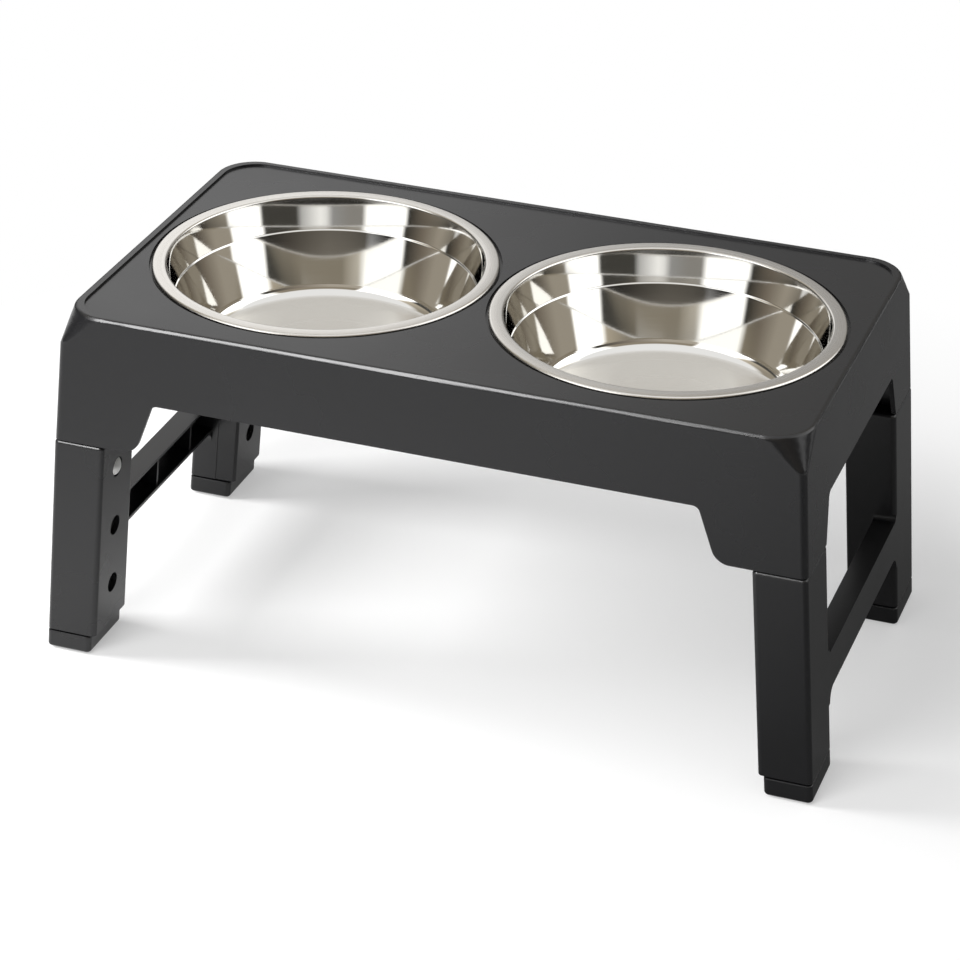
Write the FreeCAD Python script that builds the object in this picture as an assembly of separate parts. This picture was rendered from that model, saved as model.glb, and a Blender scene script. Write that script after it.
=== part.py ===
import FreeCAD
import Part
import math
import os

# Adjustable dog bowl stand, in millimetres: a moulded table with two lift-out steel bowls, on two
# folding leg frames whose four legs lengthen in steps. X runs along the table, Y from front to back,
# and Z up from the floor. The stand is drawn with its legs unfolded and fully drawn in.

# Table shell
TABLE_HEIGHT = 219.4  # top of the raised lip
SEAM_HEIGHT = 140.3  # underside of the four corner posts
SHELL_LENGTH = 439.0  # over the posts, at the seam
SHELL_WIDTH = 245.5  # over the posts, at the seam
SHELL_WALL = 2.8
END_SPLAY = 4.9  # degrees: the end walls and the legs lean by the same angle
SIDE_DRAFT = 1.5  # degrees
POST_CORNER_RADIUS = 4.0
TOP_CORNER_RADIUS = 26.0
CORNER_BLEND_HEIGHT = 19.0  # the post corner opens out to the top corner over this height
TOP_EDGE_RADIUS = 2.6
LIP_HEIGHT = 1.2  # the rim of the table stands above its panel
LIP_WIDTH = 5.0

# Arches between the posts
SIDE_ARCH_HEIGHT = 172.1
SIDE_ARCH_FOOT = 338.6  # width at the seam
SIDE_ARCH_HEAD = 315.6  # width at the top
SIDE_ARCH_RADIUS = 4.5
POST_FOOT_RADIUS = 11.0
END_ARCH_HEIGHT = 167.8
END_ARCH_FOOT = 163.0  # width at the seam
END_ARCH_HEAD = 147.0  # width at the top
END_ARCH_RADIUS = 4.5

# Bowls and their seats
BOWL_SPACING = 205.0
RIM_RADIUS = 100.0
RIM_FLAT = 8.4  # flat ring of the rim
RIM_CURL = 3.0  # turned-down edge
RIM_BEND = 1.4
BOWL_SHEET = 0.8
BOWL_DEPTH = 58.0
BOWL_BAND_DEPTH = 20.0  # upright band below the rim
BOWL_BAND_TAPER = 2.6
BOWL_CREASE = 1.8  # step in below the band
BOWL_WALL_TAPER = 11.0
BOWL_BASE_BEND = 9.0
RIM_STAND = 1.0  # rim above the panel
RECESS_CLEARANCE = 1.5
SEAT_THICKNESS = 3.0
SEAT_COLLAR = 3.0  # seat ring past the recess
BOWL_HOLE_CLEARANCE = 1.1

# Ribs under the panel, from the bowls to the long walls
PANEL_RIB_COUNT = 7
PANEL_RIB_SPACING = 51.25
PANEL_RIB_DEPTH = 8.0
PANEL_RIB_THICKNESS = 2.0

# Leg frames
LEG_DEPTH = 30.6  # along X
LEG_WIDTH = 42.8  # along Y
LEG_WALL = 2.6
LEG_EDGE_RADIUS = 3.0
LEG_SHOULDER_RADIUS = 2.0
LEG_BOTTOM_HEIGHT = 13.3
LEG_TOP_PLATE = 5.0
SEAM_GAP = 0.6
MOULD_STEP = 0.4  # shallow step down the leg's inner side
MOULD_STEP_FROM_FACE = 17.5
CROSSBAR_BOTTOM = 48.5
CROSSBAR_TOP = 71.8
CROSSBAR_DEPTH = 13.5
CROSSBAR_WALL = 2.0
CROSSBAR_UPPER_RADIUS = 3.0
CROSSBAR_LOWER_RADIUS = 8.0
RIB_COUNT = 3
RIB_SPACING = 48.5
RIB_THICKNESS = 2.2
RIB_RECESS = 1.5  # ribs stop short of the channel's edge

# Height setting
TOP_HOLE_BELOW_SEAM = 20.3  # along the leg
HOLE_PITCH = 39.1
HOLE_COUNT = 3
HOLE_DIAMETER = 12.0
BUTTON_DIAMETER = 11.0
BUTTON_STAND = 1.5  # crown past the leg's face
BUTTON_DOME = 2.4  # height of the round crown
TUBE_HOLE_CLEARANCE = 0.3

# Fold hinges
PIVOT_FROM_FACE = 34.0  # in from the leg's outer face
PIVOT_ABOVE_SEAM = 36.9  # along the leg
PIN_RADIUS = 3.0
PIN_FIT = 0.05  # pin held in the brackets
PIN_RUNNING_CLEARANCE = 0.08  # ear turning on the pin
PIN_HEAD_RADIUS = 4.6
PIN_HEAD = 1.6
PIN_TAIL = 1.0
EAR_WIDTH = 16.0
EAR_BOSS_RADIUS = 8.0
EAR_FROM_FACE = 6.0
EAR_SHOULDER = 12.0
EAR_SIDE_CLEARANCE = 0.4
BRACKET_THICKNESS = 3.0
BRACKET_BOSS_RADIUS = 9.0
BRACKET_HEEL = 29.2  # bracket meets the end wall this far under the panel

# Extension legs and feet
SLIDE_CLEARANCE = 0.3
TUBE_WALL = 2.2
TUBE_EDGE_RADIUS = 1.6
TUBE_TOP_BELOW_SEAM = 10.0
FOOT_INSET = 3.0  # foot stands in from the leg's inner face
FOOT_GAP = 1.2  # shadow gap between leg and foot
FOOT_EDGE_RADIUS = 2.0
FOOT_TOP_RADIUS = 0.8
PAD_THICKNESS = 2.0
PAD_POCKET = 1.0
PAD_INSET = 3.5
PAD_CORNER_RADIUS = 3.0

# Snap clips
CLIP_SHEET = 0.8
CLIP_WIDTH = 14.0
CLIP_CLEARANCE = 0.15
CLIP_TOP_ABOVE_BUTTON = 8.0
CLIP_LEG = 34.0

# Sizes that follow from the ones above
SPLAY = math.radians(END_SPLAY)
PANEL_TOP = TABLE_HEIGHT - LIP_HEIGHT
PANEL_UNDERSIDE = PANEL_TOP - SHELL_WALL
RIM_TOP = PANEL_TOP + RIM_STAND
RECESS_FLOOR = RIM_TOP - RIM_CURL
RECESS_RADIUS = RIM_RADIUS + RECESS_CLEARANCE
BOWL_MOUTH = RIM_RADIUS - RIM_FLAT
BOWL_HOLE_RADIUS = BOWL_MOUTH + BOWL_SHEET + BOWL_HOLE_CLEARANCE
SIDE_FACE = SHELL_WIDTH / 2
LEG_INNER_SIDE = SIDE_FACE - LEG_WIDTH
LEG_CENTRE = SIDE_FACE - LEG_WIDTH / 2
REACH = 3.0 * TABLE_HEIGHT  # longer than anything it cuts
OVERLAP = 1.0  # pieces of one moulding run this far into each other before they are joined

Vector = FreeCAD.Vector
ORIGIN = Vector(0, 0, 0)
ALONG_X = Vector(1, 0, 0)
ALONG_Y = Vector(0, 1, 0)
ALONG_Z = Vector(0, 0, 1)


def in_xy(z):
    return lambda u, v: Vector(u, v, z)


def in_xz(y):
    return lambda u, v: Vector(u, y, v)


def in_yz(x):
    return lambda u, v: Vector(x, u, v)


def rounded_outline(corners, place):
    """Closed wire through corners (u, v, radius), each rounded by an arc of its own radius."""
    edges = []
    points = [Vector(u, v, 0) for u, v, radius in corners]
    stretches = []
    for index, (u, v, radius) in enumerate(corners):
        here = points[index]
        back = (points[index - 1] - here).normalize()
        onward = (points[(index + 1) % len(points)] - here).normalize()
        half = back.getAngle(onward) / 2
        middle = back + onward
        if radius > 0:
            middle.normalize()
        reach = radius / math.tan(half)
        bend = here + middle * (radius / math.sin(half) - radius)
        stretches.append((here + back * reach, bend, here + onward * reach))
    for index, (start, bend, end) in enumerate(stretches):
        before = stretches[index - 1][2]
        if before.distanceToPoint(start) > 1e-6:
            edges.append(Part.makeLine(place(before.x, before.y), place(start.x, start.y)))
        if corners[index][2] > 0:
            arc = Part.Arc(place(start.x, start.y), place(bend.x, bend.y), place(end.x, end.y))
            edges.append(arc.toShape())
    return Part.Wire(edges)


def rectangle(u0, u1, v0, v1, radius):
    return [(u0, v0, radius), (u1, v0, radius), (u1, v1, radius), (u0, v1, radius)]


def prism(corners, place, sweep):
    return Part.Face(rounded_outline(corners, place)).extrude(sweep)


def block(x0, x1, y0, y1, z0, z1):
    return Part.makeBox(x1 - x0, y1 - y0, z1 - z0, Vector(x0, y0, z0))


def cut_all(shape, tools):
    return shape.cut(Part.makeCompound(tools))


def fuse_all(shape, pieces):
    return shape.multiFuse(pieces).removeSplitter()


def between_heights(shape, bottom, top):
    return shape.common(block(-REACH, REACH, -REACH, REACH, bottom, top))


def flipped_x(shape):
    return shape.mirror(ORIGIN, ALONG_X)


def flipped_y(shape):
    return shape.mirror(ORIGIN, ALONG_Y)


def edges_at_height(shape, height):
    box_of = [(edge, edge.BoundBox) for edge in shape.Edges]
    return [edge for edge, box in box_of if abs(box.ZMin - height) < 1e-4 and abs(box.ZMax - height) < 1e-4]


def leaned(shape):
    """Leans a right-hand piece drawn upright: outer face at X 0, seam at Z 0, in to minus X."""
    seam = Vector(SHELL_LENGTH / 2, 0, SEAM_HEIGHT)
    lean = FreeCAD.Placement(seam, FreeCAD.Rotation(ALONG_Y, -END_SPLAY))
    return shape.transformed(lean.toMatrix())


def leaned_point(x, z):
    """Where a point of the upright leg drawing lies once the leg leans."""
    across = SHELL_LENGTH / 2 + x * math.cos(SPLAY) - z * math.sin(SPLAY)
    up = SEAM_HEIGHT + x * math.sin(SPLAY) + z * math.cos(SPLAY)
    return Vector(across, 0, up)


def along_leg(height):
    """Distance along the leg, counted up from the seam, of a height on its outer face."""
    return (height - SEAM_HEIGHT) / math.cos(SPLAY)


PIVOT = leaned_point(-PIVOT_FROM_FACE, PIVOT_ABOVE_SEAM)


def end_face_at(height):
    return SHELL_LENGTH / 2 - (height - SEAM_HEIGHT) * math.tan(SPLAY)


def shell_corner_radius(height):
    blend_start = TABLE_HEIGHT - CORNER_BLEND_HEIGHT
    share = max(0.0, (height - blend_start) / CORNER_BLEND_HEIGHT)
    return POST_CORNER_RADIUS + share * (TOP_CORNER_RADIUS - POST_CORNER_RADIUS)


def shell_section(height, inset):
    half_length = end_face_at(height) - inset
    half_width = SIDE_FACE - (height - SEAM_HEIGHT) * math.tan(math.radians(SIDE_DRAFT)) - inset
    radius = shell_corner_radius(height) - inset
    corners = rectangle(-half_length, half_length, -half_width, half_width, radius)
    return rounded_outline(corners, in_xy(height))


def shell_loft(bottom, top, inset):
    heights = [bottom, TABLE_HEIGHT - CORNER_BLEND_HEIGHT, top]
    return Part.makeLoft([shell_section(height, inset) for height in heights], True, True)


def side_arch():
    """Opening under the long side; its foot is flared by the rounded foot of each post."""
    foot = SIDE_ARCH_FOOT / 2
    head = SIDE_ARCH_HEAD / 2
    beyond = SHELL_LENGTH
    below = SEAM_HEIGHT - LEG_DEPTH
    half = [(foot, SEAM_HEIGHT, POST_FOOT_RADIUS), (head, SIDE_ARCH_HEIGHT, SIDE_ARCH_RADIUS)]
    right = [(beyond, below, 0), (beyond, SEAM_HEIGHT, 0)] + half
    left = [(-u, v, radius) for u, v, radius in reversed(right)]
    return prism(right + left, in_xz(-REACH), ALONG_Y * (2 * REACH))


def end_arch():
    """Opening under the short side, a little wider at its foot than the space between the legs."""
    lean = (END_ARCH_FOOT - END_ARCH_HEAD) / 2 / (END_ARCH_HEIGHT - SEAM_HEIGHT)
    below = SEAM_HEIGHT - LEG_DEPTH
    foot = END_ARCH_FOOT / 2 + lean * LEG_DEPTH
    right = [(foot, below, 0), (END_ARCH_HEAD / 2, END_ARCH_HEIGHT, END_ARCH_RADIUS)]
    left = [(-u, v, radius) for u, v, radius in reversed(right)]
    return prism(right + left, in_yz(-REACH), ALONG_X * (2 * REACH))


def bowl_seats():
    """Seat rings under the panel, and what is cut for the rims and the bowls."""
    rings = []
    cuts = []
    for side in (-1, 1):
        centre = Vector(side * BOWL_SPACING / 2, 0, 0)
        floor = centre + ALONG_Z * RECESS_FLOOR
        under = floor - ALONG_Z * SEAT_THICKNESS
        ring_height = PANEL_UNDERSIDE + OVERLAP - under.z
        rings.append(Part.makeCylinder(RECESS_RADIUS + SEAT_COLLAR, ring_height, under))
        cuts.append(Part.makeCylinder(RECESS_RADIUS, TABLE_HEIGHT, floor))
        cuts.append(Part.makeCylinder(BOWL_HOLE_RADIUS, REACH, centre))
    return rings, cuts


def shell_inside():
    """Space inside the shell, run a little into its walls and panel: ribs and brackets are trimmed to it."""
    return shell_loft(SEAM_HEIGHT, PANEL_UNDERSIDE + OVERLAP, SHELL_WALL - OVERLAP)


def panel_ribs():
    """Ribs that stiffen the panel from wall to wall, before they are cut through for the bowls."""
    top = PANEL_UNDERSIDE + OVERLAP
    bottom = PANEL_UNDERSIDE - PANEL_RIB_DEPTH
    half = PANEL_RIB_THICKNESS / 2
    ribs = []
    for index in range(PANEL_RIB_COUNT):
        middle = (index - (PANEL_RIB_COUNT - 1) / 2) * PANEL_RIB_SPACING
        rib = block(middle - half, middle + half, -SIDE_FACE, SIDE_FACE, bottom, top)
        ribs.append(rib.common(shell_inside()))
    return ribs


def bracket_sides():
    """Where the two plates of a hinge bracket start, counted from the table's middle line."""
    near = LEG_CENTRE - EAR_WIDTH / 2 - EAR_SIDE_CLEARANCE - BRACKET_THICKNESS
    far = LEG_CENTRE + EAR_WIDTH / 2 + EAR_SIDE_CLEARANCE
    return near, far


def hinge_bracket(start):
    """Plate that hangs from the panel and carries one end of a right-hand rear hinge pin."""
    top = PANEL_UNDERSIDE + OVERLAP
    heel = PANEL_UNDERSIDE - BRACKET_HEEL
    slant = BRACKET_BOSS_RADIUS * math.sqrt(0.5)
    corners = [
        (PIVOT.x - BRACKET_BOSS_RADIUS, PIVOT.z, 0),
        (PIVOT.x + slant, PIVOT.z - slant, 0),
        (end_face_at(heel), heel, 0),
        (end_face_at(top), top, 0),
        (PIVOT.x - BRACKET_BOSS_RADIUS, top, 0),
    ]
    plate = prism(corners, in_xz(start), ALONG_Y * BRACKET_THICKNESS).common(shell_inside())
    middle = Vector(PIVOT.x, start, PIVOT.z)
    boss = Part.makeCylinder(BRACKET_BOSS_RADIUS, BRACKET_THICKNESS, middle, ALONG_Y)
    hole = Part.makeCylinder(PIN_RADIUS + PIN_FIT, BRACKET_THICKNESS, middle, ALONG_Y)
    return plate.fuse(boss).cut(hole)


def tabletop_shell():
    outer = shell_loft(SEAM_HEIGHT, TABLE_HEIGHT, 0)
    outer = outer.makeFillet(TOP_EDGE_RADIUS, edges_at_height(outer, TABLE_HEIGHT))
    inner = shell_loft(SEAM_HEIGHT - OVERLAP, PANEL_UNDERSIDE, SHELL_WALL)
    half_length = end_face_at(TABLE_HEIGHT) - LIP_WIDTH
    half_width = SIDE_FACE - (TABLE_HEIGHT - SEAM_HEIGHT) * math.tan(math.radians(SIDE_DRAFT)) - LIP_WIDTH
    lip_corners = rectangle(-half_length, half_length, -half_width, half_width, TOP_CORNER_RADIUS - LIP_WIDTH)
    tray = prism(lip_corners, in_xy(PANEL_TOP), ALONG_Z * (LIP_HEIGHT + OVERLAP))
    rings, seat_cuts = bowl_seats()
    shell = cut_all(outer, [inner])
    shell = cut_all(shell, [tray])
    shell = fuse_all(shell, rings + panel_ribs())
    shell = cut_all(shell, seat_cuts)
    shell = cut_all(shell, [side_arch()])
    shell = cut_all(shell, [end_arch()])
    plates = []
    for start in bracket_sides():
        plate = hinge_bracket(start)
        plates += [plate, flipped_x(plate), flipped_y(plate), flipped_x(flipped_y(plate))]
    return fuse_all(shell, plates)


def sheet_section(path, thickness):
    """Outline of bent sheet: a path of (u, v, bend radius) and its copy one thickness to its right."""
    points = [Vector(u, v, 0) for u, v, radius in path]
    ways = [(b - a).normalize() for a, b in zip(points, points[1:])]
    sides = [Vector(way.y, -way.x, 0) for way in ways]
    beside = [points[0] + sides[0] * thickness]
    radii = [0]
    for index in range(1, len(points) - 1):
        first = sides[index - 1]
        second = sides[index]
        mitre = (first + second) * (thickness / (1 + first.dot(second)))
        beside.append(points[index] + mitre)
        turn = ways[index - 1].cross(ways[index]).z
        radii.append(path[index][2] + math.copysign(thickness, turn))
    beside.append(points[-1] + sides[-1] * thickness)
    radii.append(0)
    copy = [(point.x, point.y, max(radius, 0)) for point, radius in zip(beside, radii)]
    return list(path) + copy[::-1]


def bowl(side):
    """Spun steel bowl: flat rim with a turned-down edge, upright band, crease, tapered wall, flat base."""
    band_foot = BOWL_MOUTH - BOWL_BAND_TAPER
    wall_head = band_foot - BOWL_CREASE
    crease_depth = BOWL_BAND_DEPTH + BOWL_CREASE
    base_corner = wall_head - BOWL_WALL_TAPER
    path = [
        (RIM_RADIUS, -RIM_CURL, 0),
        (RIM_RADIUS, 0, RIM_BEND),
        (BOWL_MOUTH, 0, RIM_BEND),
        (band_foot, -BOWL_BAND_DEPTH, BOWL_CREASE),
        (wall_head, -crease_depth, BOWL_CREASE),
        (base_corner, -BOWL_DEPTH, BOWL_BASE_BEND),
        (0, -BOWL_DEPTH, 0),
    ]
    outline = rounded_outline(sheet_section(path, -BOWL_SHEET), in_xz(0))
    spun = Part.Face(outline).revolve(ORIGIN, ALONG_Z, 360)
    spun.translate(Vector(side * BOWL_SPACING / 2, 0, RIM_TOP))
    return spun


def leg_column():
    """One upright rear leg, rounded along its edges and at its shoulder, which lies level under the post."""
    outline = rectangle(-LEG_DEPTH, 0, LEG_INNER_SIDE, SIDE_FACE, LEG_EDGE_RADIUS)
    column = leaned(prism(outline, in_xy(-REACH), ALONG_Z * (2 * REACH)))
    shoulder = SEAM_HEIGHT - SEAM_GAP
    column = between_heights(column, LEG_BOTTOM_HEIGHT, shoulder)
    return column.makeFillet(LEG_SHOULDER_RADIUS, edges_at_height(column, shoulder))


def leg_hollow():
    """What is cut out of one rear leg: the slide for the extension, the height holes, the moulding step."""
    top = -LEG_TOP_PLATE - SEAM_GAP
    near = LEG_INNER_SIDE + LEG_WALL
    far = SIDE_FACE - LEG_WALL
    outline = rectangle(LEG_WALL - LEG_DEPTH, -LEG_WALL, near, far, TUBE_EDGE_RADIUS)
    cuts = [prism(outline, in_xy(-REACH), ALONG_Z * (REACH + top))]
    for index in range(HOLE_COUNT):
        down = TOP_HOLE_BELOW_SEAM + index * HOLE_PITCH
        start = Vector(-LEG_DEPTH - OVERLAP, LEG_CENTRE, -down)
        cuts.append(Part.makeCylinder(HOLE_DIAMETER / 2, LEG_WALL + 2 * OVERLAP, start, ALONG_X))
    step_start = LEG_INNER_SIDE - OVERLAP
    step_side = LEG_INNER_SIDE + MOULD_STEP
    step_face = -LEG_DEPTH - OVERLAP
    cuts.append(block(step_face, -MOULD_STEP_FROM_FACE, step_start, step_side, -REACH, LEG_DEPTH))
    return [leaned(cut) for cut in cuts]


def leg_ear():
    """Lug on the top of one rear leg that turns on the hinge pin."""
    slant = EAR_BOSS_RADIUS * math.sqrt(0.5)
    root = -LEG_TOP_PLATE
    corners = [
        (-EAR_FROM_FACE, root, 0),
        (-EAR_FROM_FACE, EAR_SHOULDER, EAR_BOSS_RADIUS),
        (slant - PIVOT_FROM_FACE, PIVOT_ABOVE_SEAM + slant, 0),
        (-PIVOT_FROM_FACE - EAR_BOSS_RADIUS, PIVOT_ABOVE_SEAM, 0),
        (LEG_WALL - LEG_DEPTH, root, 0),
    ]
    start = LEG_CENTRE - EAR_WIDTH / 2
    plate = prism(corners, in_xz(start), ALONG_Y * EAR_WIDTH)
    middle = Vector(-PIVOT_FROM_FACE, start, PIVOT_ABOVE_SEAM)
    boss = Part.makeCylinder(EAR_BOSS_RADIUS, EAR_WIDTH, middle, ALONG_Y)
    hole = Part.makeCylinder(PIN_RADIUS + PIN_RUNNING_CLEARANCE, EAR_WIDTH, middle, ALONG_Y)
    return leaned(plate.fuse(boss).cut(hole))


def crossbar():
    """Channel between the legs, open inwards, with ribs across it and rounded into the legs at its ends."""
    top = along_leg(CROSSBAR_TOP)
    bottom = along_leg(CROSSBAR_BOTTOM)
    side = LEG_INNER_SIDE
    lower = CROSSBAR_LOWER_RADIUS
    upper = CROSSBAR_UPPER_RADIUS
    end = side + LEG_EDGE_RADIUS
    bar = block(-CROSSBAR_DEPTH, 0, -end, end, bottom - lower, top + upper)
    gap_above = rectangle(-side, side, top, REACH, upper)
    gap_below = rectangle(-side, side, -REACH, bottom, lower)
    through = ALONG_X * (CROSSBAR_DEPTH + 2 * OVERLAP)
    start = in_yz(-CROSSBAR_DEPTH - OVERLAP)
    bar = cut_all(bar, [prism(gap, start, through) for gap in (gap_above, gap_below)])
    floor = -CROSSBAR_WALL
    channel = block(
        -CROSSBAR_DEPTH - OVERLAP, floor, -side, side, bottom + CROSSBAR_WALL, top - CROSSBAR_WALL
    )
    bar = bar.cut(channel)
    ribs = []
    for index in range(RIB_COUNT):
        middle = (index - (RIB_COUNT - 1) / 2) * RIB_SPACING
        half = RIB_THICKNESS / 2
        edge = RIB_RECESS - CROSSBAR_DEPTH
        rib = block(edge, floor + OVERLAP, middle - half, middle + half, bottom + OVERLAP, top - OVERLAP)
        ribs.append(rib)
    return leaned(fuse_all(bar, ribs))


def leg_frame():
    """Right-hand frame: two legs with their lugs, joined by the crossbar in one moulding."""
    column = leg_column()
    frame = fuse_all(column, [leg_ear()])
    frame = fuse_all(frame, [flipped_y(frame), crossbar()])
    cuts = leg_hollow()
    return cut_all(frame, cuts + [flipped_y(cut) for cut in cuts])


def hinge_pin():
    """Headed pin of the right-hand rear hinge."""
    near, far = bracket_sides()
    length = far + BRACKET_THICKNESS + PIN_TAIL - near
    start = Vector(PIVOT.x, near, PIVOT.z)
    shank = Part.makeCylinder(PIN_RADIUS, length, start, ALONG_Y)
    head = Part.makeCylinder(PIN_HEAD_RADIUS, PIN_HEAD, start - ALONG_Y * PIN_HEAD, ALONG_Y)
    return shank.fuse(head).removeSplitter()


def tube_outline(inset):
    gap = LEG_WALL + SLIDE_CLEARANCE + inset
    radius = max(TUBE_EDGE_RADIUS - SLIDE_CLEARANCE - inset, 0)
    return rectangle(gap - LEG_DEPTH, -gap, LEG_INNER_SIDE + gap, SIDE_FACE - gap, radius)


def pad_outline(inset):
    foot_face = leaned_point(0, along_leg(0)).x
    u0 = foot_face - LEG_DEPTH + FOOT_INSET + inset
    return rectangle(u0, foot_face - inset, LEG_INNER_SIDE + inset, SIDE_FACE - inset, PAD_CORNER_RADIUS)


def extension_leg():
    """Right-hand rear extension: a square tube that slides in the leg, with a foot below it."""
    sole = PAD_THICKNESS - PAD_POCKET
    foot_top = LEG_BOTTOM_HEIGHT - FOOT_GAP
    outline = rectangle(FOOT_INSET - LEG_DEPTH, 0, LEG_INNER_SIDE, SIDE_FACE, LEG_EDGE_RADIUS)
    column = leaned(prism(outline, in_xy(-REACH), ALONG_Z * (2 * REACH)))
    foot = between_heights(column, sole, foot_top)
    foot = foot.makeFillet(FOOT_EDGE_RADIUS, edges_at_height(foot, sole))
    foot = foot.makeFillet(FOOT_TOP_RADIUS, edges_at_height(foot, foot_top))
    tube_bottom = along_leg(foot_top) - OVERLAP
    tube_length = -TUBE_TOP_BELOW_SEAM - tube_bottom
    tube = leaned(prism(tube_outline(0), in_xy(tube_bottom), ALONG_Z * tube_length))
    bore = prism(tube_outline(TUBE_WALL), in_xy(tube_bottom + OVERLAP), ALONG_Z * tube_length)
    hole_start = Vector(-LEG_DEPTH, LEG_CENTRE, -TOP_HOLE_BELOW_SEAM)
    hole_radius = BUTTON_DIAMETER / 2 + TUBE_HOLE_CLEARANCE
    hole = Part.makeCylinder(hole_radius, LEG_DEPTH / 2, hole_start, ALONG_X)
    pocket = prism(pad_outline(PAD_INSET), in_xy(sole - OVERLAP), ALONG_Z * (PAD_POCKET + OVERLAP))
    return cut_all(fuse_all(foot, [tube]), [leaned(bore), leaned(hole), pocket])


def foot_pad():
    """Soft pad let into the sole of the right-hand rear foot."""
    return prism(pad_outline(PAD_INSET), in_xy(0), ALONG_Z * PAD_THICKNESS)


def clip_faces():
    """Inner faces of the tube that the clip's two leaves lie on, less their clearance."""
    gap = LEG_WALL + SLIDE_CLEARANCE + TUBE_WALL + CLIP_CLEARANCE
    return gap - LEG_DEPTH, -gap


def snap_clip():
    """Spring strip of the right-hand rear leg: two leaves in the tube, joined by a round bend."""
    u0, u1 = clip_faces()
    top = CLIP_TOP_ABOVE_BUTTON - TOP_HOLE_BELOW_SEAM
    bend_height = top - CLIP_LEG
    radius = (u1 - u0) / 2
    start = LEG_CENTRE - CLIP_WIDTH / 2
    middle = Vector((u0 + u1) / 2, start, bend_height)
    ring = Part.makeCylinder(radius, CLIP_WIDTH, middle, ALONG_Y)
    ring = ring.cut(Part.makeCylinder(radius - CLIP_SHEET, CLIP_WIDTH, middle, ALONG_Y))
    bend = ring.cut(block(u0, u1, start, start + CLIP_WIDTH, bend_height, top))
    front = block(u0, u0 + CLIP_SHEET, start, start + CLIP_WIDTH, bend_height, top)
    back = block(u1 - CLIP_SHEET, u1, start, start + CLIP_WIDTH, bend_height, top)
    return leaned(fuse_all(bend, [front, back]))


def snap_button():
    """Round-crowned button of the right-hand rear clip; it shows in the leg's top hole."""
    seat = clip_faces()[0]
    crown = -LEG_DEPTH - BUTTON_STAND
    radius = BUTTON_DIAMETER / 2
    sphere = (radius ** 2 + BUTTON_DOME ** 2) / (2 * BUTTON_DOME)
    quarter = math.asin(radius / sphere) / 2
    place = in_xz(0)
    corners = [place(seat, 0), place(seat, radius), place(crown + BUTTON_DOME, radius), place(crown, 0)]
    bend = place(crown + sphere * (1 - math.cos(quarter)), sphere * math.sin(quarter))
    edges = [Part.makeLine(a, b) for a, b in zip(corners, corners[1:3])]
    edges.append(Part.Arc(corners[2], bend, corners[3]).toShape())
    edges.append(Part.makeLine(corners[3], corners[0]))
    button = Part.Face(Part.Wire(edges)).revolve(ORIGIN, ALONG_X, 360)
    button.translate(Vector(0, LEG_CENTRE, -TOP_HOLE_BELOW_SEAM))
    return leaned(button)


def save(name, shape):
    shape.exportStep(os.path.join("parts", name + ".step"))


def build():
    os.makedirs("parts", exist_ok=True)
    save("tabletop_shell", tabletop_shell())
    save("left_bowl", bowl(-1))
    save("right_bowl", bowl(1))
    frame = leg_frame()
    save("right_leg_frame", frame)
    save("left_leg_frame", flipped_x(frame))
    corner_pieces = {
        "hinge_pin": hinge_pin(),
        "extension_leg": extension_leg(),
        "foot_pad": foot_pad(),
        "snap_clip": snap_clip(),
        "snap_button": snap_button(),
    }
    for name, piece in corner_pieces.items():
        save("right_rear_" + name, piece)
        save("right_front_" + name, flipped_y(piece))
        save("left_rear_" + name, flipped_x(piece))
        save("left_front_" + name, flipped_x(flipped_y(piece)))


build()
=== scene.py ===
import bmesh
import bpy
import math
from mathutils import Matrix, Vector


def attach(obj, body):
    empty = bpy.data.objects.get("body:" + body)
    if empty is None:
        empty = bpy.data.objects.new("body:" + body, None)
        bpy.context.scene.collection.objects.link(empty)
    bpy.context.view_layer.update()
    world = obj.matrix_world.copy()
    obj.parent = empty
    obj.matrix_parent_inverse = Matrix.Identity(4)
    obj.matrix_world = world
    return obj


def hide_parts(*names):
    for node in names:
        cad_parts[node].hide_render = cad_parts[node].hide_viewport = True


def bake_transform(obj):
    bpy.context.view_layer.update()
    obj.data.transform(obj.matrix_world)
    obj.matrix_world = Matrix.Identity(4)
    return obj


MM = 0.001

# Camera, fitted to the two round rims
CAMERA_PLACE = (0.53228, -1.54807, 0.98408)
CAMERA_AIM = (-0.28882, 0.82993, -0.47728)
CAMERA_ROLL = math.radians(1.0233)
CAMERA_LENS = 119.527
CAMERA_SENSOR = 36.0

# Bowls, spun from sheet
BOWL_CENTRES = {"left": -102.5 * MM, "right": 102.5 * MM}
RIM_TOP = 219.2 * MM
RIM_RADIUS = 100.0 * MM
RIM_FLAT = 8.4 * MM
RIM_CURL = 3.0 * MM
RIM_BEND = 1.4 * MM
BOWL_SHEET = 0.8 * MM
BOWL_DEPTH = 58.0 * MM
BAND_DEPTH = 20.0 * MM
BAND_TAPER = 3.7 * MM
CREASE = 0.7 * MM
WALL_TAPER = 11.0 * MM
BASE_BEND = 9.0 * MM
BOWL_STEPS = 192
BEND_STEPS = 8

# Edges of the mouldings
EDGE_ROUND = 0.45 * MM
FINE_EDGE_ROUND = 0.25 * MM
EDGE_STEPS = 2
SMOOTH_BELOW = math.radians(32)
FLAT_BELOW = math.radians(0.4)
SAME_POINT = 0.004 * MM

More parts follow.
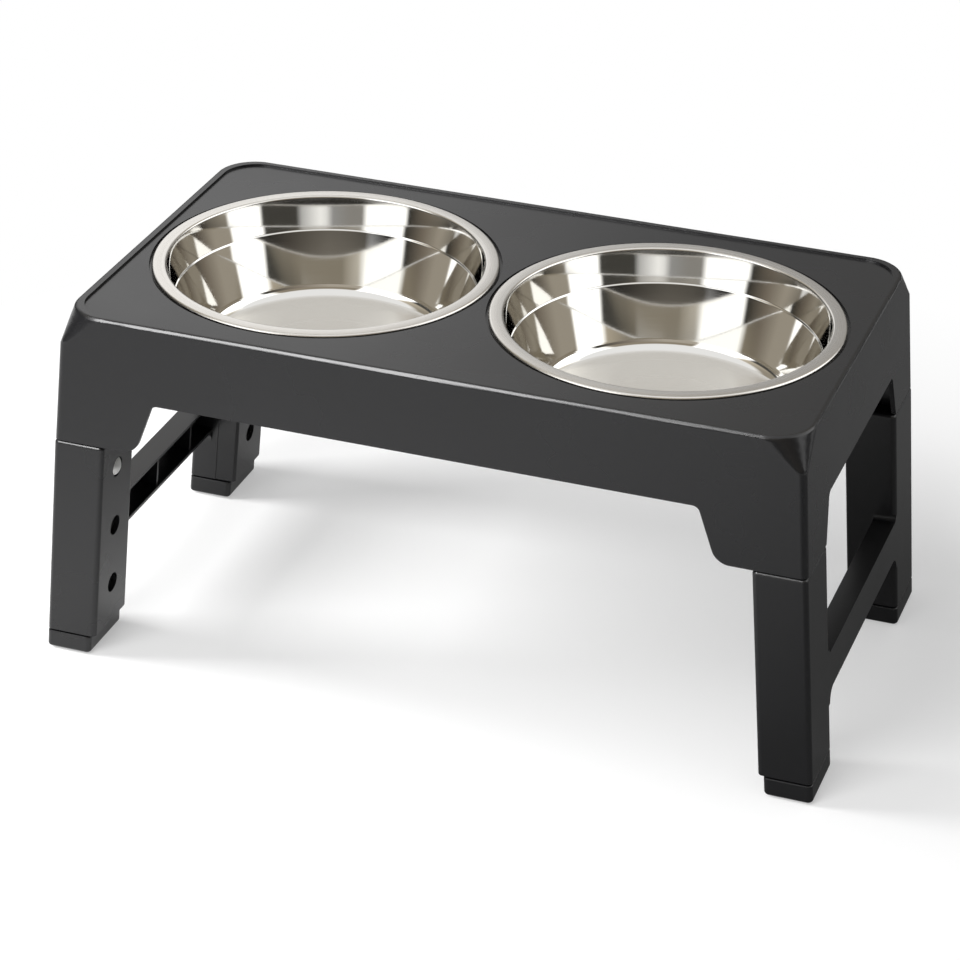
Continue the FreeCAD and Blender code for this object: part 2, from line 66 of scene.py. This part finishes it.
# Ring of screens that only gloss sees: colours by degrees round from straight behind the stand, to the
# right positive, in two rows
LOWER_SCREENS = [
    (-180, "807a70"), (-152, "807a70"), (-147, "ffffff"), (-100, "ffffff"), (-94, "353431"),
    (-46, "353431"), (-38, "989898"), (-12, "d0d0d0"), (-4, "c4c4c4"), (6, "7b7b7b"), (30, "72706d"),
    (48, "72706d"), (56, "f4f4f4"), (114, "f4f4f4"), (120, "282724"), (150, "5f584f"), (180, "807a70"),
]
UPPER_SCREENS = [
    (-180, "6b6458"), (-152, "6b6458"), (-147, "ffffff"), (-104, "ffffff"), (-94, "91897b"),
    (-60, "6f695e"), (20, "6f695e"), (45, "9f9a90"), (58, "e8e8e6"), (120, "e8e8e6"),
    (130, "6b6458"), (180, "6b6458"),
]
SKIRTING_COLOUR = "201f1d"
CANOPY_COLOUR = "c8c8c8"
SKIRTING_TO_LOWER = (8.0, 18.0)  # degrees up
LOWER_TO_UPPER = (32.0, 36.0)
UPPER_TO_CANOPY = (48.0, 55.0)
SCREEN_STRENGTH = 2.2
SCREEN_RADIUS = 5.0
SCREEN_HEIGHT = 7.0
SCREEN_SIDES = 96

# Card on the floor, which gloss sees to the right and behind; it thins out towards the front left
# It is painted shade: it darkens the reflections of the faces on the right, and is no real part of the scene
CARD_HALF = 1.2
CARD_WAY = (1.0, 0.6, 0.0)
CARD_FROM = -0.35
CARD_FULL = 0.1
CARD_COVER = 0.8
CARD_LIFT = 0.2 * MM
CARD_SHADE_COLOUR = "202020"

# White floor, and the distances over which its shadow gives way to plain white
FLOOR_HALF = 6.0
FLOOR_COLOUR = "cecece"
FLOOR_GLOW = 0.385
SHADOW_KEPT = 0.3
WHITE_FROM = 0.55

# Lamps: where they stand and point to, their sizes and their watts
AMBIENT = 0.35  # strength of the white background as a light
STAND_MIDDLE = (0, 0, 0.1)
KEY_PLACE = (-1.45, -0.3, 0.85)
KEY_SIZE = (0.6, 0.6)
KEY_WATTS = 31
FILL_PLACE = (-0.5, -1.5, 1.45)
FILL_SIZE = (1.2, 1.2)
FILL_WATTS = 26
GLEAM_PLACE = (-0.73, -0.89, 1.55)
GLEAM_AIM = (-0.73, -0.12, 0.22)
GLEAM_SIZE = (0.8, 2.0)
GLEAM_WATTS = 80

CORNERS = [side + "_" + end for side in ("left", "right") for end in ("front", "rear")]


def linear(hex_colour):
    """Linear colour of an sRGB hex value such as 3a3a3c."""
    shares = [int(hex_colour[i:i + 2], 16) / 255 for i in (0, 2, 4)]
    return [s / 12.92 if s <= 0.04045 else ((s + 0.055) / 1.055) ** 2.4 for s in shares] + [1.0]


def add_node(tree, kind, inputs=None, **settings):
    """Adds a node with its settings; an input takes a value, or a link if it is given a socket."""
    made = tree.nodes.new(kind)
    for name, value in settings.items():
        setattr(made, name, value)
    for name, value in (inputs or {}).items():
        socket = made.inputs[name]
        if isinstance(value, bpy.types.NodeSocket):
            tree.links.new(value, socket)
        else:
            socket.default_value = value
    return made


def new_material(name):
    material = bpy.data.materials.new(name)
    material.use_nodes = True
    material.node_tree.nodes.clear()
    return material, material.node_tree


def moulded_polypropylene(name, colour, pale, roughness):
    """Black polypropylene from a spark-eroded mould: a satin skin that greys where it mirrors white."""
    grain_mm = 0.7  # the real grain is near 0.2 mm, drawn coarser so that it shows
    grain_depth_mm = 0.03
    grain_strength = 0.03
    drift_mm = 70.0  # slow change of gloss across the moulding
    gloss_swing = 0.03
    material, tree = new_material(name)
    place = add_node(tree, "ShaderNodeTexCoord").outputs["Object"]
    grain = add_node(tree, "ShaderNodeTexNoise", {
        "Vector": place, "Scale": 1 / (grain_mm * MM), "Detail": 2.0})
    drift = add_node(tree, "ShaderNodeTexNoise", {
        "Vector": place, "Scale": 1 / (drift_mm * MM), "Detail": 3.0})
    shade = add_node(tree, "ShaderNodeMix", {
        "Factor": drift.outputs["Fac"], 6: linear(colour), 7: linear(pale)}, data_type="RGBA")
    gloss = add_node(tree, "ShaderNodeMapRange", {
        "Value": drift.outputs["Fac"], "From Min": 0.2, "From Max": 0.8,
        "To Min": roughness - gloss_swing, "To Max": roughness + gloss_swing})
    bump = add_node(tree, "ShaderNodeBump", {
        "Height": grain.outputs["Fac"], "Strength": grain_strength, "Distance": grain_depth_mm * MM})
    shader = add_node(tree, "ShaderNodeBsdfPrincipled", {
        "Base Color": shade.outputs[2], "Roughness": gloss.outputs[0], "Normal": bump.outputs[0],
        "IOR": 1.5})
    add_node(tree, "ShaderNodeOutputMaterial", {"Surface": shader.outputs[0]})
    return material


def plain_steel(name, colour, roughness, streak_mm):
    """Drawn or turned steel: bright, with faint streaks left by the tool."""
    gloss_swing = 0.05
    material, tree = new_material(name)
    place = add_node(tree, "ShaderNodeTexCoord").outputs["Object"]
    streak = add_node(tree, "ShaderNodeTexNoise", {
        "Vector": place, "Scale": 1 / (streak_mm * MM), "Detail": 4.0})
    gloss = add_node(tree, "ShaderNodeMapRange", {
        "Value": streak.outputs["Fac"], "To Min": roughness - gloss_swing, "To Max": roughness + gloss_swing})
    shader = add_node(tree, "ShaderNodeBsdfPrincipled", {
        "Base Color": linear(colour), "Metallic": 1.0, "Roughness": gloss.outputs[0]})
    add_node(tree, "ShaderNodeOutputMaterial", {"Surface": shader.outputs[0]})
    return material


def soft_rubber(name, colour):
    """Moulded rubber: dull, with a dusty grain."""
    grain_mm = 0.5
    grain_depth_mm = 0.1
    grain_strength = 0.2
    smoothest, dullest = 0.7, 0.9
    material, tree = new_material(name)
    place = add_node(tree, "ShaderNodeTexCoord").outputs["Object"]
    grain = add_node(tree, "ShaderNodeTexNoise", {
        "Vector": place, "Scale": 1 / (grain_mm * MM), "Detail": 3.0})
    gloss = add_node(tree, "ShaderNodeMapRange", {
        "Value": grain.outputs["Fac"], "To Min": smoothest, "To Max": dullest})
    bump = add_node(tree, "ShaderNodeBump", {
        "Height": grain.outputs["Fac"], "Strength": grain_strength, "Distance": grain_depth_mm * MM})
    shader = add_node(tree, "ShaderNodeBsdfPrincipled", {
        "Base Color": linear(colour), "Roughness": gloss.outputs[0], "Normal": bump.outputs[0],
        "IOR": 1.52})
    add_node(tree, "ShaderNodeOutputMaterial", {"Surface": shader.outputs[0]})
    return material


def spun_stainless(name, centre_x):
    """Stainless steel spun on a lathe: a wall buffed bright, and a satin cut on the rim and the base."""
    ring_mm = 0.9  # rings of the satin cut, drawn coarser than the real ones so that they show
    buffed_colour, buffed_roughness = "e4e3e0", (0.03, 0.06)
    satin_colour, satin_roughness = "dedbd6", (0.22, 0.28)
    satin_from_mouth = (-0.6 * MM, 0.4 * MM)  # outwards: none at the first, full at the second
    satin_above_base = (1.2 * MM, 0.2 * MM)  # upwards, in the same way
    material, tree = new_material(name)
    place = add_node(tree, "ShaderNodeTexCoord").outputs["Object"]
    centred = add_node(tree, "ShaderNodeVectorMath", {0: place, 1: (centre_x, 0.0, 0.0)},
                       operation="SUBTRACT")
    parts = add_node(tree, "ShaderNodeSeparateXYZ", {0: centred.outputs[0]})
    flat = add_node(tree, "ShaderNodeCombineXYZ", {0: parts.outputs[0], 1: parts.outputs[1]})
    radius = add_node(tree, "ShaderNodeVectorMath", {0: flat.outputs[0]}, operation="LENGTH").outputs["Value"]
    height = parts.outputs[2]
    mouth = RIM_RADIUS - RIM_FLAT
    on_rim = add_node(tree, "ShaderNodeMapRange", {
        "Value": radius, "From Min": mouth + satin_from_mouth[0], "From Max": mouth + satin_from_mouth[1]})
    base = RIM_TOP - BOWL_DEPTH
    on_base = add_node(tree, "ShaderNodeMapRange", {
        "Value": height, "From Min": base + satin_above_base[0], "From Max": base + satin_above_base[1]})
    satin = add_node(tree, "ShaderNodeMath", {0: on_rim.outputs[0], 1: on_base.outputs[0]},
                     operation="MAXIMUM")
    rings_in = add_node(tree, "ShaderNodeCombineXYZ", {0: radius, 1: height})
    rings = add_node(tree, "ShaderNodeTexNoise", {
        "Vector": rings_in.outputs[0], "Scale": 1 / (ring_mm * MM), "Detail": 3.0})
    roughnesses = []
    for low, high in (buffed_roughness, satin_roughness):
        roughnesses.append(add_node(tree, "ShaderNodeMapRange", {
            "Value": rings.outputs["Fac"], "From Min": 0.3, "From Max": 0.7, "To Min": low, "To Max": high}))
    gloss = add_node(tree, "ShaderNodeMix", {
        "Factor": satin.outputs[0], 2: roughnesses[0].outputs[0], 3: roughnesses[1].outputs[0]})
    shade = add_node(tree, "ShaderNodeMix", {
        "Factor": satin.outputs[0], 6: linear(buffed_colour), 7: linear(satin_colour)}, data_type="RGBA")
    shader = add_node(tree, "ShaderNodeBsdfPrincipled", {
        "Base Color": shade.outputs[2], "Metallic": 1.0, "Roughness": gloss.outputs[0]})
    add_node(tree, "ShaderNodeOutputMaterial", {"Surface": shader.outputs[0]})
    return material


def mesh_object(name, mesh, material):
    piece = bpy.data.objects.new(name, mesh)
    bpy.context.scene.collection.objects.link(piece)
    piece.data.materials.clear()
    piece.data.materials.append(material)
    return piece


def finished_copy(node, name, material, edge_round):
    """A merged copy of a node's mesh with its edges eased and its curves shaded smooth."""
    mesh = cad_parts[node].data.copy()
    mesh.name = name
    shape = bmesh.new()
    shape.from_mesh(mesh)
    bmesh.ops.remove_doubles(shape, verts=shape.verts, dist=SAME_POINT)
    bmesh.ops.dissolve_limit(shape, angle_limit=FLAT_BELOW, verts=shape.verts, edges=shape.edges)
    shape.to_mesh(mesh)
    shape.free()
    piece = mesh_object(name, mesh, material)
    for face in mesh.polygons:
        face.use_smooth = True
        face.material_index = 0
    if edge_round > 0:
        ease = piece.modifiers.new("eased edges", "BEVEL")
        ease.width = edge_round
        ease.segments = EDGE_STEPS
        ease.limit_method = "ANGLE"
        ease.angle_limit = SMOOTH_BELOW
        ease.harden_normals = True
    even = piece.modifiers.new("even shading", "WEIGHTED_NORMAL")
    even.keep_sharp = True
    return piece


def dressed(node, name, body, material, edge_round):
    piece = finished_copy(node, name, material, edge_round)
    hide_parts(node)
    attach(piece, body)
    return piece


def sprung_strip(corner, material):
    """The snap clip's strip as one fixed piece; on the real clip its back leg stays in the tube and its front
    leg goes in with the button.
    """
    strip = finished_copy(corner + "_snap_clip", corner + "_strip", material, 0)
    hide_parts(corner + "_snap_clip")
    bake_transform(strip)
    return strip


def rounded_path(points):
    """Points along a path of (u, v, bend radius), with each bend as an arc."""
    out = []
    for index, (u, v, radius) in enumerate(points):
        here = Vector((u, v))
        if radius == 0:
            out.append(here)
            continue
        back = (Vector(points[index - 1][:2]) - here).normalized()
        onward = (Vector(points[index + 1][:2]) - here).normalized()
        half = back.angle(onward) / 2
        centre = here + (back + onward).normalized() * (radius / math.sin(half))
        start = here + back * (radius / math.tan(half)) - centre
        end = here + onward * (radius / math.tan(half)) - centre
        turn = start.angle_signed(end)
        for step in range(BEND_STEPS + 1):
            out.append(centre + Matrix.Rotation(-turn * step / BEND_STEPS, 2) @ start)
    return out


def bowl_section():
    """Upper line of the bowl's sheet, from the curled edge to the middle of the base."""
    mouth = RIM_RADIUS - RIM_FLAT
    band_foot = mouth - BAND_TAPER
    wall_head = band_foot - CREASE
    inner = [
        (RIM_RADIUS, -RIM_CURL, 0),
        (RIM_RADIUS, 0, RIM_BEND),
        (mouth, 0, RIM_BEND),
        (band_foot, -BAND_DEPTH, CREASE),
        (wall_head, -BAND_DEPTH - CREASE, CREASE),
        (wall_head - WALL_TAPER, -BOWL_DEPTH, BASE_BEND),
        (0, -BOWL_DEPTH, 0),
    ]
    return rounded_path(inner)


def spun_bowl_tree():
    """Spins a section line round the bowl's axis, closes it in the middle and gives it its finish."""
    tree = bpy.data.node_groups.new("spun bowl", "GeometryNodeTree")
    tree.interface.new_socket("Section", in_out="INPUT", socket_type="NodeSocketGeometry")
    for label, kind in (("Steps", "NodeSocketInt"), ("Spin Radius", "NodeSocketFloat"),
                        ("Finish", "NodeSocketMaterial")):
        tree.interface.new_socket(label, in_out="INPUT", socket_type=kind)
    tree.interface.new_socket("Bowl", in_out="OUTPUT", socket_type="NodeSocketGeometry")
    given = add_node(tree, "NodeGroupInput")
    line = add_node(tree, "GeometryNodeMeshToCurve", {0: given.outputs["Section"]})
    ring = add_node(tree, "GeometryNodeCurvePrimitiveCircle", {"Resolution": given.outputs["Steps"],
                                                               "Radius": given.outputs["Spin Radius"]})
    spun = add_node(tree, "GeometryNodeCurveToMesh", {"Curve": ring.outputs["Curve"],
                                                      "Profile Curve": line.outputs[0]})
    closed = add_node(tree, "GeometryNodeMergeByDistance", {"Geometry": spun.outputs[0],
                                                            "Distance": SAME_POINT})
    real = add_node(tree, "GeometryNodeRealizeInstances", {0: closed.outputs[0]})
    painted = add_node(tree, "GeometryNodeSetMaterial", {"Geometry": real.outputs[0],
                                                         "Material": given.outputs["Finish"]})
    add_node(tree, "NodeGroupOutput", {0: painted.outputs[0]})
    return tree


def grown_mesh(base, tree, name, **sizes):
    """Runs a node tree on an object with the named sizes, and returns the result as a plain mesh."""
    modifier = base.modifiers.new(tree.name, "NODES")
    modifier.node_group = tree
    for item in tree.interface.items_tree:
        key = item.name.replace(" ", "_").lower()
        if item.in_out == "INPUT" and key in sizes:
            modifier[item.identifier] = sizes[key]
    evaluated = base.evaluated_get(bpy.context.evaluated_depsgraph_get())
    mesh = bpy.data.meshes.new_from_object(evaluated)
    mesh.name = name
    old = base.data
    bpy.data.objects.remove(base)
    bpy.data.meshes.remove(old)
    return mesh


def spun_bowl(side, tree, material):
    spin_radius = RIM_RADIUS / 2
    line = bpy.data.meshes.new("bowl section")
    points = [(p.x - spin_radius, -p.y, 0.0) for p in bowl_section()]
    line.from_pydata(points, [(i, i + 1) for i in range(len(points) - 1)], [])
    base = bpy.data.objects.new("bowl section", line)
    bpy.context.scene.collection.objects.link(base)
    mesh = grown_mesh(base, tree, side + "_bowl_spun", steps=BOWL_STEPS, spin_radius=spin_radius,
                      finish=material)
    shape = bmesh.new()
    shape.from_mesh(mesh)
    bmesh.ops.translate(shape, verts=shape.verts, vec=(BOWL_CENTRES[side], 0, RIM_TOP))
    bmesh.ops.recalc_face_normals(shape, faces=shape.faces)
    shape.to_mesh(mesh)
    shape.free()
    for face in mesh.polygons:
        face.use_smooth = True
    piece = mesh_object(side + "_bowl_spun", mesh, material)
    wall = piece.modifiers.new("sheet", "SOLIDIFY")
    wall.thickness = BOWL_SHEET
    wall.offset = -1.0
    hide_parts(side + "_bowl")
    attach(piece, side + "_bowl")
    return piece


def make_camera():
    aim = Vector(CAMERA_AIM).normalized()
    turn = aim.to_track_quat("-Z", "Y").to_matrix() @ Matrix.Rotation(CAMERA_ROLL, 3, "Z")
    data = bpy.data.cameras.new("camera")
    data.lens = CAMERA_LENS
    data.sensor_width = CAMERA_SENSOR
    camera = bpy.data.objects.new("camera", data)
    camera.matrix_world = Matrix.Translation(CAMERA_PLACE) @ turn.to_4x4()
    bpy.context.scene.collection.objects.link(camera)
    bpy.context.scene.camera = camera


def lamp(name, place, aim, size, watts):
    data = bpy.data.lights.new(name, "AREA")
    data.shape = "RECTANGLE"
    data.size, data.size_y = size
    data.energy = watts
    made = bpy.data.objects.new(name, data)
    made.location = place
    made.rotation_euler = (Vector(aim) - Vector(place)).to_track_quat("-Z", "Y").to_euler()
    bpy.context.scene.collection.objects.link(made)
    return made


def compass_ramp(tree, place, screens):
    """Colour of a row of screens at a place round the compass, 0 to 1."""
    ramp = add_node(tree, "ShaderNodeValToRGB", {"Fac": place})
    stops = ramp.color_ramp.elements
    while len(stops) < len(screens):
        stops.new(1.0)
    for stop, (degrees, colour) in zip(stops, screens):
        stop.position = (degrees + 180) / 360
        stop.color = linear(colour)
    return ramp.outputs["Color"]


def screen_colour(tree, way):
    """Colour of the ring of screens in a direction: two rows between a dark skirting and a pale canopy."""
    behind = Vector(CAMERA_AIM[:2]).normalized()
    ahead = add_node(tree, "ShaderNodeVectorMath", {0: way, 1: (behind.x, behind.y, 0.0)},
                     operation="DOT_PRODUCT")
    across = add_node(tree, "ShaderNodeVectorMath", {0: way, 1: (behind.y, -behind.x, 0.0)},
                      operation="DOT_PRODUCT")
    turn = add_node(tree, "ShaderNodeMath", {0: across.outputs["Value"], 1: ahead.outputs["Value"]},
                    operation="ARCTAN2")
    place = add_node(tree, "ShaderNodeMapRange", {
        "Value": turn.outputs[0], "From Min": -math.pi, "From Max": math.pi}).outputs[0]
    up = add_node(tree, "ShaderNodeSeparateXYZ", {0: way}).outputs[2]
    rows = (
        (SKIRTING_TO_LOWER, compass_ramp(tree, place, LOWER_SCREENS)),
        (LOWER_TO_UPPER, compass_ramp(tree, place, UPPER_SCREENS)),
        (UPPER_TO_CANOPY, linear(CANOPY_COLOUR)),
    )
    colour = linear(SKIRTING_COLOUR)
    for heights, above in rows:
        start, end = [math.sin(math.radians(degrees)) for degrees in heights]
        share = add_node(tree, "ShaderNodeMapRange", {"Value": up, "From Min": start, "From Max": end})
        mixed = add_node(tree, "ShaderNodeMix", {"Factor": share.outputs[0], 6: colour, 7: above},
                         data_type="RGBA")
        colour = mixed.outputs[2]
    return colour


def seen_directly(tree):
    """1 for what the camera, a mirror or glass sees, and 0 for what only lights the stand."""
    path = add_node(tree, "ShaderNodeLightPath")
    mirrored = add_node(tree, "ShaderNodeMath", {
        0: path.outputs["Is Glossy Ray"], 1: path.outputs["Is Transmission Ray"]}, operation="MAXIMUM")
    seen = add_node(tree, "ShaderNodeMath", {0: path.outputs["Is Camera Ray"], 1: mirrored.outputs[0]},
                    operation="MAXIMUM")
    return seen.outputs[0]


def white_world():
    """White background to the camera and to gloss, and softer as a light."""
    world = bpy.data.worlds.new("studio")
    bpy.context.scene.world = world
    world.use_nodes = True
    tree = world.node_tree
    tree.nodes.clear()
    glow = add_node(tree, "ShaderNodeBackground", {"Color": linear("ffffff"), "Strength": AMBIENT})
    seen = add_node(tree, "ShaderNodeBackground", {"Color": linear("ffffff"), "Strength": 1.0})
    pick = add_node(tree, "ShaderNodeMixShader", {0: seen_directly(tree), 1: glow.outputs[0],
                                                  2: seen.outputs[0]})
    add_node(tree, "ShaderNodeOutputWorld", {"Surface": pick.outputs[0]})


def only_for_gloss(piece):
    """Stage piece that shows in gloss and glass alone, and casts no shadow."""
    piece.visible_camera = False
    piece.visible_diffuse = False
    piece.visible_shadow = False


def flat_square(name, half, height, material):
    corners = [(-half, -half, height), (half, -half, height), (half, half, height), (-half, half, height)]
    mesh = bpy.data.meshes.new(name)
    mesh.from_pydata(corners, [], [(0, 1, 2, 3)])
    return mesh_object(name, mesh, material)


def studio_screens():
    """A ring of soft boxes and dim screens round the stand, which only gloss sees."""
    material, tree = new_material("studio screens")
    place = add_node(tree, "ShaderNodeTexCoord").outputs["Object"]
    raised = add_node(tree, "ShaderNodeVectorMath", {0: place, 1: (0.0, 0.0, RIM_TOP)},
                      operation="SUBTRACT")
    way = add_node(tree, "ShaderNodeVectorMath", {0: raised.outputs[0]}, operation="NORMALIZE").outputs[0]
    shine = add_node(tree, "ShaderNodeEmission", {"Color": screen_colour(tree, way),
                                                  "Strength": SCREEN_STRENGTH})
    add_node(tree, "ShaderNodeOutputMaterial", {"Surface": shine.outputs[0]})
    ring = bmesh.new()
    bmesh.ops.create_cone(ring, segments=SCREEN_SIDES, radius1=SCREEN_RADIUS, radius2=SCREEN_RADIUS,
                          depth=SCREEN_HEIGHT)
    bmesh.ops.translate(ring, verts=ring.verts, vec=(0, 0, SCREEN_HEIGHT / 2))
    mesh = bpy.data.meshes.new("studio screens")
    ring.to_mesh(mesh)
    ring.free()
    only_for_gloss(mesh_object("studio screens", mesh, material))


def pale_floor():
    """White seamless floor that keeps the stand's shadow, and is clear from below."""
    material, tree = new_material("seamless paper")
    paper = add_node(tree, "ShaderNodeBsdfDiffuse", {"Color": linear(FLOOR_COLOUR)})
    glow = add_node(tree, "ShaderNodeEmission", {"Color": linear("ffffff"), "Strength": FLOOR_GLOW})
    lit = add_node(tree, "ShaderNodeAddShader", {0: paper.outputs[0], 1: glow.outputs[0]})
    place = add_node(tree, "ShaderNodeTexCoord").outputs["Object"]
    spread = add_node(tree, "ShaderNodeVectorMath", {0: place}, operation="LENGTH")
    far = add_node(tree, "ShaderNodeMapRange", {
        "Value": spread.outputs["Value"], "From Min": SHADOW_KEPT, "From Max": WHITE_FROM})
    white = add_node(tree, "ShaderNodeEmission", {"Color": linear("ffffff"), "Strength": 1.0})
    shown = add_node(tree, "ShaderNodeMixShader", {
        0: far.outputs[0], 1: lit.outputs[0], 2: white.outputs[0]})
    pick = add_node(tree, "ShaderNodeMixShader", {0: seen_directly(tree), 1: paper.outputs[0],
                                                  2: shown.outputs[0]})
    below = add_node(tree, "ShaderNodeNewGeometry").outputs["Backfacing"]
    clear = add_node(tree, "ShaderNodeBsdfTransparent")
    one_way = add_node(tree, "ShaderNodeMixShader", {0: below, 1: pick.outputs[0], 2: clear.outputs[0]})
    add_node(tree, "ShaderNodeOutputMaterial", {"Surface": one_way.outputs[0]})
    floor = flat_square("floor", FLOOR_HALF, 0.0, material)


def painted_shade_card():
    """A dark card on the floor that keeps the white paper out of the gloss of the faces on the right: painted
    shade in their reflections.
    """
    material, tree = new_material("painted shade card")
    place = add_node(tree, "ShaderNodeTexCoord").outputs["Object"]
    along = add_node(tree, "ShaderNodeVectorMath", {0: place, 1: CARD_WAY}, operation="DOT_PRODUCT")
    cover = add_node(tree, "ShaderNodeMapRange", {
        "Value": along.outputs["Value"], "From Min": CARD_FROM, "From Max": CARD_FULL,
        "To Min": 0.0, "To Max": CARD_COVER})
    clear = add_node(tree, "ShaderNodeBsdfTransparent")
    # the card's dark colour is painted shade, seen only in reflections
    felt = add_node(tree, "ShaderNodeBsdfDiffuse", {"Color": linear(CARD_SHADE_COLOUR)})
    thinned = add_node(tree, "ShaderNodeMixShader", {
        0: cover.outputs[0], 1: clear.outputs[0], 2: felt.outputs[0]})
    add_node(tree, "ShaderNodeOutputMaterial", {"Surface": thinned.outputs[0]})
    only_for_gloss(flat_square("painted shade card", CARD_HALF, CARD_LIFT, material))


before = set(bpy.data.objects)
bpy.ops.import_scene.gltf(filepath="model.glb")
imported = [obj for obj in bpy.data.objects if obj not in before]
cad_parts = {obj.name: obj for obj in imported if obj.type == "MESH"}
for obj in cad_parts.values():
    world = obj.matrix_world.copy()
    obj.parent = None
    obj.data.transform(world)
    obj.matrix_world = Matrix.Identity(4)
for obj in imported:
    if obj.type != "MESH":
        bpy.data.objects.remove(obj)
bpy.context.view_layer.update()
make_camera()
white_world()
studio_screens()
pale_floor()
painted_shade_card()
key = lamp("left key", KEY_PLACE, STAND_MIDDLE, KEY_SIZE, KEY_WATTS)
fill = lamp("front fill", FILL_PLACE, STAND_MIDDLE, FILL_SIZE, FILL_WATTS)
for soft in (key, fill):
    soft.visible_glossy = False
gleam = lamp("ridge gleam", GLEAM_PLACE, GLEAM_AIM, GLEAM_SIZE, GLEAM_WATTS)
gleam.visible_diffuse = False
gleam_on = bpy.data.collections.new("gleam falls on")
gleam.light_linking.receiver_collection = gleam_on

table_plastic = moulded_polypropylene("black table polypropylene", "141415", "18181a", 0.27)
leg_plastic = moulded_polypropylene("black leg polypropylene", "141415", "18181a", 0.29)
pin_steel = plain_steel("turned pin steel", "a8a8a6", 0.3, 1.5)
spring_steel = plain_steel("spring strip steel", "8e9094", 0.35, 2.0)
button_steel = plain_steel("nickelled button steel", "f0f0ee", 0.5, 1.0)
pad_rubber = soft_rubber("black pad rubber", "1c1c1c")

tabletop = dressed("tabletop_shell", "tabletop", "table", table_plastic, EDGE_ROUND)
gleam_on.objects.link(tabletop)
bowl_tree = spun_bowl_tree()
for side in BOWL_CENTRES:
    spun_bowl(side, bowl_tree, spun_stainless(side + " spun stainless", BOWL_CENTRES[side]))
    frame_node = side + "_leg_frame"
    legs = dressed(frame_node, side + "_legs", frame_node, leg_plastic, EDGE_ROUND)
    gleam_on.objects.link(legs)
for corner in CORNERS:
    extension = corner + "_extension"
    dressed(corner + "_extension_leg", corner + "_foot", extension, leg_plastic,
            FINE_EDGE_ROUND)
    dressed(corner + "_foot_pad", corner + "_pad", extension, pad_rubber, FINE_EDGE_ROUND)
    sprung_strip(corner, spring_steel)
    dressed(corner + "_snap_button", corner + "_dome", corner + "_button", button_steel, 0)
    dressed(corner + "_hinge_pin", corner + "_pin", "table", pin_steel, FINE_EDGE_ROUND)

bpy.context.scene.view_settings.view_transform = "Standard"
